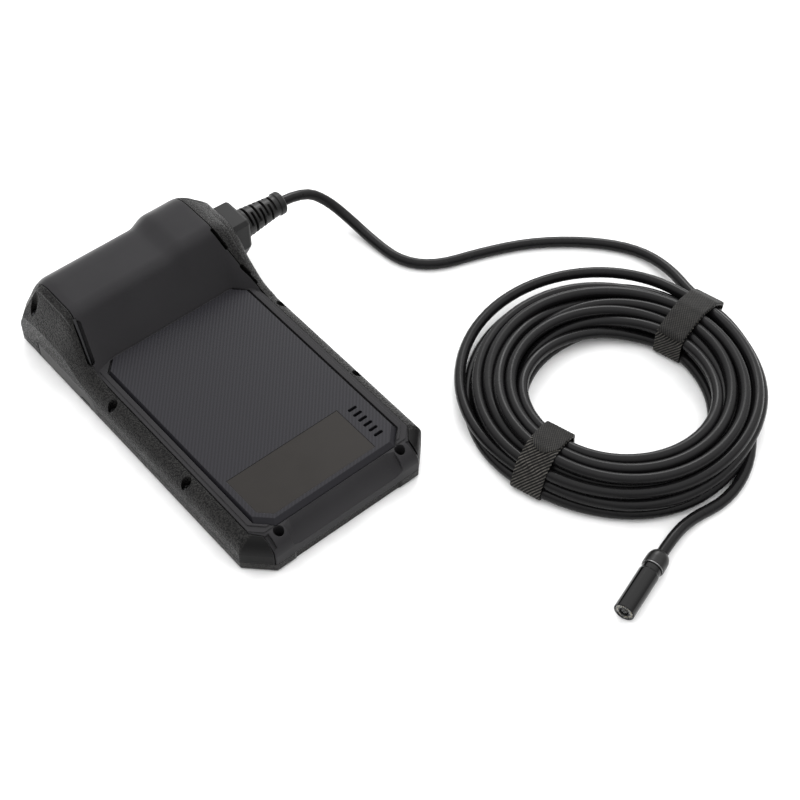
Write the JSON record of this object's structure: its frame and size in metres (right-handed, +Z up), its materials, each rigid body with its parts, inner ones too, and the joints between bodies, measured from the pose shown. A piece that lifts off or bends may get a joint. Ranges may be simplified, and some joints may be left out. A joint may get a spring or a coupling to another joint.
{
  "type": "inspection camera",
  "caption": "Handheld inspection camera with a rear grip hump, ported flap, keypad under the screen end, and a long coiled cable ending in a lit camera probe.",
  "frame": {"origin": "under the middle of the body, at the level of the front bezel's rim that it rests on, screen down", "axes": "+Z up, away from the screen; +Y along the body towards the hump end; +X across the body towards the cable outlet"},
  "size_m": [0.2274, 0.258, 0.0405],
  "materials": {
    "textured_shell": "fine leather grain",
    "satin_cover": "satin",
    "lined_panel": "fine diagonal lines",
    "label_film": "smooth film",
    "bezel_plastic": "satin",
    "screen_glass": "polished, printed black border",
    "display_metal": "thin pressed frame",
    "foam": "soft foam",
    "gasket_rubber": "matt",
    "black_steel": "black oxide",
    "flap_rubber": "fine matt grain",
    "steel": "satin",
    "circuit_board": "green solder mask",
    "black_board": "black solder mask",
    "key_plastic": "fine matt",
    "mat_rubber": "translucent silicone",
    "black_plastic": "moulded",
    "cell_sleeve": "shrink sleeve",
    "nickel": "plated spring strip",
    "mesh_cloth": "fine woven mesh",
    "boot_rubber": "satin",
    "cable_jacket": "satin PVC",
    "strap_webbing": "woven hook-and-loop strap",
    "probe_metal": "gloss black anodised",
    "bright_ring": "polished",
    "led_white": "yellowish phosphor",
    "clear_window": "clear",
    "lens_glass": "coated lens"
  },
  "bodies": {
    "camera": {"rear_housing": "textured_shell", "centre_cover": "satin_cover", "back_panel": "lined_panel", "label_plate": "label_film", "vent_mesh": "mesh_cloth", "front_bezel": "bezel_plastic", "screen_glass": "screen_glass", "display_module": "display_metal", "display_gasket": "foam", "seam_gasket": "gasket_rubber", "housing_screws": "black_steel", "strap_bar": "black_steel", "main_board": "circuit_board", "side_board": "circuit_board", "usb_socket": "steel", "card_socket": "steel", "key_board": "circuit_board", "key_mat": "mat_rubber", "speaker": "black_plastic", "battery_cell": "cell_sleeve", "battery_cradle": "black_plastic", "battery_contacts": "nickel", "gland_block": "black_plastic", "gland_nut": "black_plastic", "strain_relief": "boot_rubber", "cable_plug": "cable_jacket", "cable_lead": "cable_jacket", "cable_coil": "cable_jacket", "cable_tail": "cable_jacket", "coil_tie_upper": "strap_webbing", "coil_tie_lower": "strap_webbing", "probe_tube": "probe_metal", "probe_ring": "bright_ring", "probe_collar": "boot_rubber", "led_board": "black_board", "probe_leds": "led_white", "probe_window": "clear_window", "lens_barrel": "black_plastic", "probe_lens": "lens_glass", "image_sensor": "black_plastic"},
    "power_key": {"power_key": "key_plastic"},
    "up_key": {"up_key": "key_plastic"},
    "down_key": {"down_key": "key_plastic"},
    "zoom_key": {"zoom_key": "key_plastic"},
    "light_key": {"light_key": "key_plastic"},
    "photo_key": {"photo_key": "key_plastic"},
    "turn_key": {"turn_key": "key_plastic"},
    "port_flap": {"port_flap": "flap_rubber"}
  },
  "joints": [
    {"name": "power_key_press", "type": "slide", "parent": "camera", "child": "power_key", "axis": [0, 0, 1], "range_m": [0, 0.0006], "stiffness_N_per_m": 400, "springref_m": -0.0003},
    {"name": "up_key_press", "type": "slide", "parent": "camera", "child": "up_key", "axis": [0, 0, 1], "range_m": [0, 0.0006], "stiffness_N_per_m": 400, "springref_m": -0.0003},
    {"name": "down_key_press", "type": "slide", "parent": "camera", "child": "down_key", "axis": [0, 0, 1], "range_m": [0, 0.0006], "stiffness_N_per_m": 400, "springref_m": -0.0003},
    {"name": "zoom_key_press", "type": "slide", "parent": "camera", "child": "zoom_key", "axis": [0, 0, 1], "range_m": [0, 0.0006], "stiffness_N_per_m": 400, "springref_m": -0.0003},
    {"name": "light_key_press", "type": "slide", "parent": "camera", "child": "light_key", "axis": [0, 0, 1], "range_m": [0, 0.0006], "stiffness_N_per_m": 400, "springref_m": -0.0003},
    {"name": "photo_key_press", "type": "slide", "parent": "camera", "child": "photo_key", "axis": [0, 0, 1], "range_m": [0, 0.0006], "stiffness_N_per_m": 400, "springref_m": -0.0003},
    {"name": "turn_key_press", "type": "slide", "parent": "camera", "child": "turn_key", "axis": [0, 0, 1], "range_m": [0, 0.0006], "stiffness_N_per_m": 400, "springref_m": -0.0003},
    {"name": "port_flap_hinge", "type": "hinge", "parent": "camera", "child": "port_flap", "pos_m": [-0.0422, 0.0618, 0.0056], "axis": [0, 0, -1], "range_deg": [0, 90]}
  ]
}
